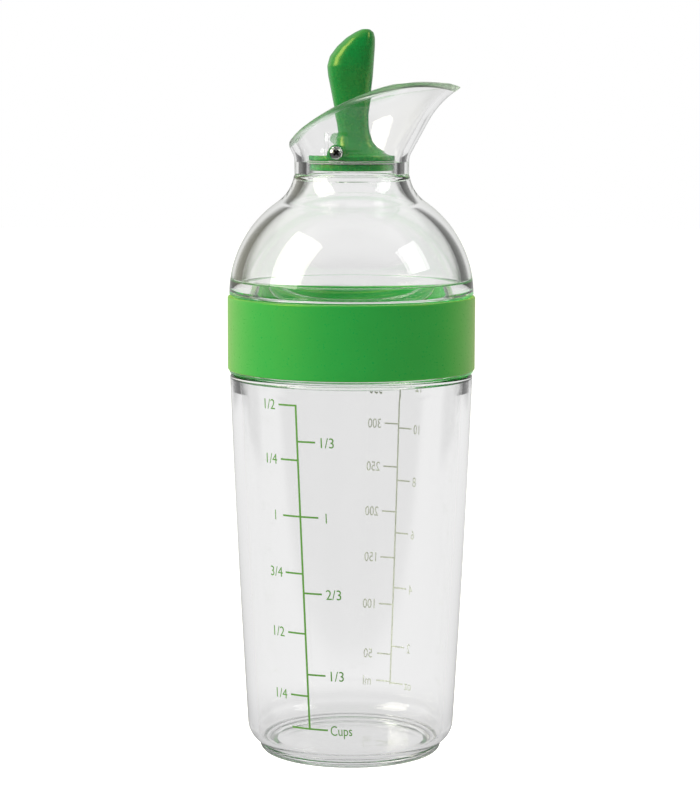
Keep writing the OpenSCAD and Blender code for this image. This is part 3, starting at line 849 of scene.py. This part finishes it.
def scale_shapes(line, line_w, tick_w, left, right):
    """A vertical line with ticks and labels on both sides: left and right list
    (height, text, tick length, label's distance)."""
    shapes = [bar_shape(-line_w / 2, line_w / 2, line[0], line[1])]
    for sign, marks in ((-1, left), (1, right)):
        for z, text, length, away in marks:
            if length:
                u0, u1 = sorted((sign * line_w / 2, sign * length))
                shapes.append(bar_shape(u0, u1, z - tick_w / 2, z + tick_w / 2))
            if text:
                condense = FRACTION_CONDENSE if "/" in text else LABEL_CONDENSE
                verts, faces = label_shape(text, LABEL_H, condense)
                shapes.append((verts + np.array([sign * away, z]), faces))
    return shapes


def printed_scale(name, shapes, place, facing):
    """A scale wrapped on the bottle: facing is -1 for the front and 1 for the back."""
    degrees, height, lean = place

    def on_bottle(u, v, lift):
        r = outer_r(v) + lift
        a = rad(degrees + (v - height) * lean) - facing * u / r
        return (r * math.sin(a), facing * r * math.cos(a), v)
    return wrapped_print(name, shapes, on_bottle)


def front_print():
    left = [(112.2, "1/2", 6, 9.5), (95.7, "1/4", 6, 9.5), (78.6, "1", 6, 8.9), (61.1, "3/4", 6, 9.5),
            (42.6, "1/2", 6, 9.5), (23.2, "1/4", 6, 9.5), (13.0, "", 6, 0)]
    right = [(101.4, "1/3", 5.8, 9.5), (78.6, "1", 5.8, 8.2), (55.2, "2/3", 5.8, 9.4),
             (30.0, "1/3", 5.8, 9.4), (13.0, "Cups", 5.8, 9.9)]
    shapes = scale_shapes(FRONT_SPAN, 0.62, 0.55, left, right)
    return printed_scale("scale_front", shapes, FRONT_PLACE, -1)


def back_print():
    # Read from behind, the millilitres are on the right of the line and the ounces on the left.
    right = [(112.1, "350", 5.3, 8.9), (98.4, "300", 5.3, 8.9), (84.4, "250", 5.3, 8.9),
             (69.8, "200", 5.3, 8.9), (54.8, "150", 5.3, 8.9), (39.5, "100", 5.3, 8.9),
             (23.2, "50", 5.3, 8.6), (14.3, "ml", 5.3, 8.6)]
    left = [(113.2, "12", 5.2, 7.4), (97.1, "10", 5.2, 7.4), (80.1, "8", 5.2, 7.1),
            (63.0, "6", 5.2, 7.1), (45.1, "4", 5.2, 7.1), (25.9, "2", 5.2, 7.1),
            (13.9, "oz", 5.2, 7.4)]
    shapes = scale_shapes(BACK_SPAN, 0.5, 0.45, left, right)
    return printed_scale("scale_back", shapes, BACK_PLACE, 1)


# Materials

class Nodes:
    """A short way to write a node tree."""

    def __init__(self, tree):
        self.nodes = tree.nodes
        self.links = tree.links

    def add(self, kind, sockets=(), **settings):
        node = self.nodes.new(kind)
        for key, value in settings.items():
            setattr(node, key, value)
        for key, value in dict(sockets).items():
            self.put(node.inputs[key], value)
        return node

    def put(self, socket, value):
        if isinstance(value, bpy.types.NodeSocket):
            self.links.new(value, socket)
        else:
            socket.default_value = value

    def math(self, operation, a, b):
        return self.add("ShaderNodeMath", {0: a, 1: b}, operation=operation).outputs[0]

    def blend(self, value, a, b):
        node = self.add("ShaderNodeMix", data_type="RGBA")
        for socket, item in ((0, value), (6, (*a, 1)), (7, (*b, 1))):
            self.put(node.inputs[socket], item)
        return node.outputs[2]

    def ranged(self, value, start, stop, low, high, kind):
        sockets = {"Value": value, "From Min": start, "From Max": stop, "To Min": low, "To Max": high}
        return self.add("ShaderNodeMapRange", sockets, interpolation_type=kind).outputs["Result"]

    def mixed(self, share, first, second):
        return self.add("ShaderNodeMixShader", {0: share, 1: first, 2: second}).outputs[0]

    def step(self, value, start, stop, low=0.0, high=1.0):
        return self.ranged(value, start, stop, low, high, "SMOOTHSTEP")

    def span(self, value, low, high, start=0.3, stop=0.7):
        return self.ranged(value, start, stop, low, high, "LINEAR")


class Tree(Nodes):
    """A node material round one Principled shader."""

    def __init__(self, name, **values):
        self.mat = bpy.data.materials.new(name)
        self.mat.use_nodes = True
        super().__init__(self.mat.node_tree)
        self.shader = self.nodes["Principled BSDF"]
        self.out = self.nodes["Material Output"]
        for key, value in values.items():
            self.shader.inputs[key.replace("_", " ")].default_value = value

    def coords(self):
        return self.add("ShaderNodeTexCoord").outputs["Object"]

    def noise(self, scale, detail=3.0, roughness=0.5, vector=None):
        return self.add("ShaderNodeTexNoise", {"Vector": vector or self.coords(), "Scale": scale,
                        "Detail": detail, "Roughness": roughness}).outputs["Fac"]

    def colour(self, value, dark, light):
        self.put(self.shader.inputs["Base Color"], self.blend(self.span(value, 0.0, 1.0), dark, light))

    def roughness(self, value, low, high):
        self.put(self.shader.inputs["Roughness"], self.span(value, low, high))

    def bump(self, height, strength, distance):
        normal = self.add("ShaderNodeBump", {"Height": height, "Strength": strength, "Distance": distance})
        self.put(self.shader.inputs["Normal"], normal.outputs["Normal"])


CLEAR_IOR = 1.57
# What is left of lamp light on its way through one clear face
LAMP_FILM = (0.95, 0.96, 0.955, 1)


def clear_plastic(name, tint, rough):
    """Clear plastic that lets lamp light through. rough gives the roughness's least and most."""
    t = Tree(name, Transmission_Weight=1.0, IOR=CLEAR_IOR, Base_Color=(*tint, 1))
    t.roughness(t.noise(90.0, 4.0, 0.6), *rough)
    t.bump(t.noise(45.0, 2.0), 0.012, 0.0004)
    film = t.add("ShaderNodeBsdfTransparent", {"Color": LAMP_FILM}).outputs[0]
    shadow = t.add("ShaderNodeLightPath").outputs["Is Shadow Ray"]
    t.put(t.out.inputs["Surface"], t.mixed(shadow, t.shader.outputs[0], film))
    return t.mat


def weld():
    """Lets everything pass: the hidden faces where clear pieces are fused together."""
    return Tree("clear_weld", Alpha=0.0).mat


def soft_green():
    t = Tree("green_grip", IOR=1.5, Specular_Tint=(1.0, 0.75, 0.02, 1), Specular_IOR_Level=0.8,
             Sheen_Weight=0.36, Sheen_Roughness=0.5, Sheen_Tint=(0.95, 0.95, 0.02, 1))
    fine = t.noise(1400.0, 3.0, 0.7)
    t.colour(t.noise(60.0, 3.0), (0.001, 0.38, 0.074), (0.002, 0.4, 0.079))
    t.roughness(fine, 0.26, 0.36)
    t.bump(fine, 0.35, 0.00006)
    return t.mat


def band_inside_glow():
    """The band's face on the clear skirt. It glows with painted light in place of light soaking through the
    band from behind. Painted light streaks in fine level lines stand in for the skirt's thread breaking
    that light up."""
    # Painted light: an emission glow in the face's own colour, streaked by a stretched noise
    t = Tree("green_grip_inside_glow", IOR=1.5, Roughness=0.4, Emission_Strength=0.22)
    streaks = {"Vector": t.coords(), "Scale": (25.0, 25.0, 1100.0)}
    place = t.add("ShaderNodeMapping", streaks).outputs[0]
    share = t.span(t.noise(1.0, 2.0, 0.5, place), 0.0, 1.0, 0.52, 0.78)
    colour = t.blend(share, (0.01, 0.5, 0.06), (0.3, 0.75, 0.14))
    t.put(t.shader.inputs["Base Color"], colour)
    t.put(t.shader.inputs["Emission Color"], colour)
    return t.mat


def hard_green():
    t = Tree("green_plastic", IOR=1.5, Specular_Tint=(1.0, 0.95, 0.2, 1), Specular_IOR_Level=0.9)
    t.colour(t.noise(80.0, 3.0), (0.001, 0.245, 0.05), (0.003, 0.27, 0.055))
    t.roughness(t.noise(500.0, 4.0, 0.6), 0.2, 0.32)
    t.bump(t.noise(900.0, 3.0), 0.12, 0.00004)
    return t.mat


def silicone():
    t = Tree("silicone", IOR=1.42, Transmission_Weight=0.55)
    t.colour(t.noise(120.0, 3.0), (0.78, 0.84, 0.76), (0.86, 0.9, 0.84))
    t.roughness(t.noise(700.0, 3.0), 0.35, 0.5)
    t.bump(t.noise(800.0, 3.0), 0.15, 0.00004)
    return t.mat


def chrome(name, dark, light, rough):
    """Polished steel, or near black steel that paints the shade in a recess. rough gives the roughness's
    least and most.
    """
    t = Tree(name, Metallic=1.0)
    t.colour(t.noise(900.0, 3.0), dark, light)
    t.roughness(t.noise(2500.0, 3.0), *rough)
    t.bump(t.noise(3000.0, 2.0), 0.1, 0.00002)
    return t.mat


def ink(name, dark, light):
    t = Tree(name, IOR=1.45)
    t.colour(t.noise(500.0, 4.0, 0.6), dark, light)
    t.roughness(t.noise(900.0, 3.0), 0.45, 0.6)
    t.bump(t.noise(1600.0, 2.0), 0.2, 0.00002)
    return t.mat


# Stage, light and camera

# Strength of the room's light from each side
ROOM_BACK = 0.5
ROOM_SIDE = 0.14
ROOM_LEFT = 0.55
ROOM_FRONT = 0.1
ROOM_TOP = 0.65
ROOM_TINT = (0.97, 1.0, 0.92)
WARM = (1.0, 0.97, 0.6)
# Parts of a direction's Y, X or Z between which each of those lights fades
BACK_FADE = (0.25, 0.6)
FRONT_FADE = (-0.75, -0.2)
LEFT_FADE = (-0.75, -0.25)
HORIZON_FADE = (-0.05, 0.05)
TOP_FADE = (0.55, 0.9)
# The room as it is seen through clear plastic, and the dark flags in it. Their angles, in degrees
# from the back towards +X, are where a flag begins, is full, begins to end and ends.
SEEN_LEVEL = 0.87
FLAG_LEVEL = 0.09
FLAG_RIGHT = (18, 27, 54, 64)
FLAG_LEFT = (-64, -54, -25, -14)
FLAG_LOW_FADE = (-0.16, -0.12)
FLAG_HIGH_FADE = (0.5, 0.65)
# What is left of the light from the front after a reflection inside clear plastic
TURNED_LEVEL = 0.15
TURNED_FADE = (-0.45, 0.0)


def flags(t, axes):
    """How much of a dark flag stands in a direction, right or left of the backdrop."""
    side = t.math("ARCTAN2", axes["X"], axes["Y"])
    both = [t.math("MULTIPLY", t.step(side, rad(a), rad(b)), t.step(side, rad(c), rad(d), 1.0, 0.0))
            for a, b, c, d in (FLAG_RIGHT, FLAG_LEFT)]
    return t.math("ADD", *both)


def turned_level(t, glossy_depth, y, fade):
    """What is left of a level for rays reflected in plastic that leave it towards the front."""
    turned = t.math("MULTIPLY", glossy_depth, t.step(y, *fade, 1.0, 0.0))
    return t.step(turned, 0.0, 1.0, 1.0, TURNED_LEVEL)


def world():
    """Lights the object dimly, by a different amount from each side. Rays that have passed through
    clear plastic see a bright room instead, with a dark flag on each side of the backdrop."""
    w = bpy.data.worlds.new("studio")
    bpy.context.scene.world = w
    w.use_nodes = True
    t = Nodes(w.node_tree)
    t.nodes.clear()
    direction = t.add("ShaderNodeTexCoord").outputs["Generated"]
    axes = t.add("ShaderNodeSeparateXYZ", {0: direction}).outputs
    back = t.math("MULTIPLY", t.step(axes["Y"], *BACK_FADE), ROOM_BACK - ROOM_SIDE)
    front = t.math("MULTIPLY", t.step(axes["Y"], *FRONT_FADE, 1.0, 0.0), ROOM_FRONT - ROOM_SIDE)
    above = t.step(axes["Z"], *HORIZON_FADE, 0.0, ROOM_LEFT)
    left = t.math("MULTIPLY", t.step(axes["X"], *LEFT_FADE, 1.0, 0.0), above)
    top = t.step(axes["Z"], *TOP_FADE, 0.0, ROOM_TOP)
    level = t.math("ADD", back, ROOM_SIDE)
    for part in (front, left, top):
        level = t.math("ADD", level, part)
    depth = t.step(axes["Z"], *FLAG_LOW_FADE, 0.0, SEEN_LEVEL - FLAG_LEVEL)
    dark = t.math("MULTIPLY", flags(t, axes), depth)
    dark = t.math("MULTIPLY", dark, t.step(axes["Z"], *FLAG_HIGH_FADE, 1.0, 0.0))
    path = t.add("ShaderNodeLightPath").outputs
    kept = turned_level(t, path["Glossy Depth"], axes["Y"], TURNED_FADE)
    through = t.math("MULTIPLY", t.math("SUBTRACT", SEEN_LEVEL, dark), kept)

    def backdrop(strength, colour=(1, 1, 1, 1)):
        return t.add("ShaderNodeBackground", {"Color": colour, "Strength": strength}).outputs[0]
    warm = t.blend(t.math("DIVIDE", left, level), ROOM_TINT, WARM)
    room = t.mixed(path["Is Transmission Ray"], backdrop(level, warm), backdrop(through))
    t.add("ShaderNodeOutputWorld", {0: t.mixed(path["Is Camera Ray"], room, backdrop(1.0))})


# Point that the lamps face
TARGET = (0.0, 0.0, 0.15)


def softbox(name, direction, distance, width, height, radiance, colour):
    """An area lamp that faces the object from a direction, with the given brightness of its face."""
    lamp = bpy.data.lights.new(name, "AREA")
    lamp.shape = "RECTANGLE"
    lamp.size = width
    lamp.size_y = height
    lamp.energy = radiance * math.pi * width * height
    lamp.color = colour
    obj = bpy.data.objects.new(name, lamp)
    bpy.context.scene.collection.objects.link(obj)
    d = np.array(direction) / np.linalg.norm(direction)
    side = np.cross((0, 0, 1), d)
    side /= np.linalg.norm(side)
    up = np.cross(d, side)
    place = np.array(TARGET) + d * distance
    rows = [[side[i], up[i], d[i], place[i]] for i in range(3)] + [[0, 0, 0, 1]]
    obj.matrix_world = Matrix(rows)


# Half of the floor's side, and how far it lies under the object
FLOOR_HALF = 3.0
FLOOR_DROP = 0.0002
# Levels of the floor: to the camera, and through plastic near the object and far from it
FLOOR_GLOW = 0.6
FLOOR_NEAR = 0.7
FLOOR_FAR = 0.9
# Distances from the object's axis between which the level through plastic changes, and between
# which the flags fade in
NEAR_FADE = (0.02, 0.1)
FLAG_AWAY = (0.75, 0.95)
FLOOR_TURNED_FADE = (-0.3, -0.05)
# The level in reflections rises from one to the other between two places in Y
FLOOR_FRONT = 0.12
FLOOR_BEHIND = 0.6
MIRROR_FADE = (-0.1, 0.4)


def floor():
    """A pale floor lit by the lamps. Seen through plastic it glows, dimmer near the object and in
    the flags, and in reflections it is bright behind the object only."""
    h = FLOOR_HALF
    mesh = bpy.data.meshes.new("floor")
    mesh.from_pydata([(-h, -h, 0), (h, -h, 0), (h, h, 0), (-h, h, 0)], [], [(0, 1, 2, 3)])
    obj = bpy.data.objects.new("floor", mesh)
    bpy.context.scene.collection.objects.link(obj)
    obj.location.z = -FLOOR_DROP
    t = Tree("floor", Roughness=0.9, Base_Color=(0.9, 0.9, 0.9, 1), Specular_IOR_Level=0.0)
    path = t.add("ShaderNodeLightPath").outputs
    place = t.add("ShaderNodeSeparateXYZ", {0: t.coords()}).outputs
    away = t.add("ShaderNodeVectorMath", {0: t.coords()}, operation="LENGTH").outputs["Value"]

    def emission(strength):
        return t.add("ShaderNodeEmission", {"Color": (1, 1, 1, 1), "Strength": strength}).outputs[0]
    depth = t.step(away, *FLAG_AWAY, 0.0, FLOOR_FAR - FLAG_LEVEL)
    dark = t.math("MULTIPLY", flags(t, place), depth)
    through = t.math("SUBTRACT", t.step(away, *NEAR_FADE, FLOOR_NEAR, FLOOR_FAR), dark)
    kept = turned_level(t, path["Glossy Depth"], place["Y"], FLOOR_TURNED_FADE)
    through = t.math("MULTIPLY", through, kept)
    mirrored = t.span(place["Y"], FLOOR_FRONT, FLOOR_BEHIND, *MIRROR_FADE)
    glow = t.mixed(path["Is Camera Ray"], emission(0.0), emission(FLOOR_GLOW))
    lit = t.add("ShaderNodeAddShader", {0: t.shader.outputs[0], 1: glow}).outputs[0]
    seen = t.mixed(path["Is Glossy Ray"], lit, emission(mirrored))
    seen = t.mixed(path["Is Transmission Ray"], seen, emission(through))
    t.put(t.out.inputs["Surface"], seen)
    mesh.materials.append(t.mat)


# The camera's place, and the degrees that it looks down and is rolled
CAMERA_PLACE = (-0.0006, -0.7875, 0.2056)
CAMERA_DOWN = 6.93
CAMERA_ROLL = -0.14


def camera():
    data = bpy.data.cameras.new("camera")
    data.lens = 115.0
    data.sensor_width = 36.0
    data.clip_start = 0.01
    obj = bpy.data.objects.new("camera", data)
    bpy.context.scene.collection.objects.link(obj)
    obj.location = CAMERA_PLACE
    obj.rotation_euler = (rad(90 - CAMERA_DOWN), rad(CAMERA_ROLL), 0)
    bpy.context.scene.camera = obj


def finish_piece(obj, body, materials, nodes):
    """Gives a piece its materials, the body that it rides on and the nodes it stands for."""
    picks = [p.material_index for p in obj.data.polygons]
    obj.data.materials.clear()
    for mat in materials:
        obj.data.materials.append(mat)
    obj.data.polygons.foreach_set("material_index", [min(i, len(materials) - 1) for i in picks])
    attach(obj, body)
    if nodes:
        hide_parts(*nodes)


camera()
world()
softbox("key_left", (-0.789, -0.335, 0.515), distance=1.3, width=0.74, height=1.16,
        radiance=4.6, colour=(1.0, 0.98, 0.85))
softbox("key_right", (0.806, -0.247, 0.537), distance=1.3, width=0.5, height=0.56,
        radiance=3.6, colour=(1.0, 1.0, 0.98))
floor()

CLEAR = clear_plastic("clear_plastic", (1.0, 1.0, 1.0), (0.004, 0.03))
EDGE = clear_plastic("clear_edge", (0.66, 0.82, 0.66), (0.3, 0.42))
WELD = weld()
GRIP = soft_green()
INSIDE_GLOW = band_inside_glow()
GREEN = hard_green()
SILICONE = silicone()
CHROME = chrome("screw_steel", (0.66, 0.66, 0.65), (0.78, 0.78, 0.78), (0.08, 0.18))
# Painted shade: near black steel in the screws' cross recesses, where shade falls
RECESS = chrome("screw_recess_shade", (0.05, 0.05, 0.045), (0.09, 0.09, 0.08), (0.25, 0.4))
INK = ink("scale_print", (0.105, 0.31, 0.045), (0.125, 0.345, 0.055))
INK_UNDER = ink("scale_print_under", (0.5, 0.53, 0.43), (0.56, 0.59, 0.49))

finish_piece(bottle_shell(), "bottle", [CLEAR], ["bottle"])
finish_piece(front_print(), "bottle", [INK, INK_UNDER], [])
finish_piece(back_print(), "bottle", [INK, INK_UNDER], [])
finish_piece(skirt_ring(), "lid", [CLEAR, WELD], ["threaded_skirt"])
# The band's second material is its inside glow, painted light
finish_piece(band_sleeve(), "lid", [GRIP, INSIDE_GLOW], ["grip_band"])
finish_piece(gasket_ring(), "gasket", [GRIP], ["lid_gasket"])
finish_piece(dome_shell(), "lid", [CLEAR, WELD], ["shoulder_dome"])
finish_piece(spout_shell(), "lid", [CLEAR, WELD, EDGE], ["pour_spout"])
finish_piece(lever_body(), "stopper", [GREEN], ["stopper_lever"])
finish_piece(seal_disc(), "stopper", [SILICONE], ["stopper_seal"])
finish_piece(retainer_ring(), "stopper", [GREEN], ["seal_retainer"])
# Material 1 of each screw is the painted shade in its cross recess
finish_piece(hinge_screw("screw_front", -1), "stopper", [CHROME, RECESS],
             ["hinge_screw_front"])
finish_piece(hinge_screw("screw_back", 1), "stopper", [CHROME, RECESS],
             ["hinge_screw_back"])

scene = bpy.context.scene
scene.view_settings.view_transform = "Standard"
scene.cycles.max_bounces = 28
scene.cycles.transmission_bounces = 28
scene.cycles.glossy_bounces = 12
scene.cycles.diffuse_bounces = 5
scene.cycles.transparent_max_bounces = 28
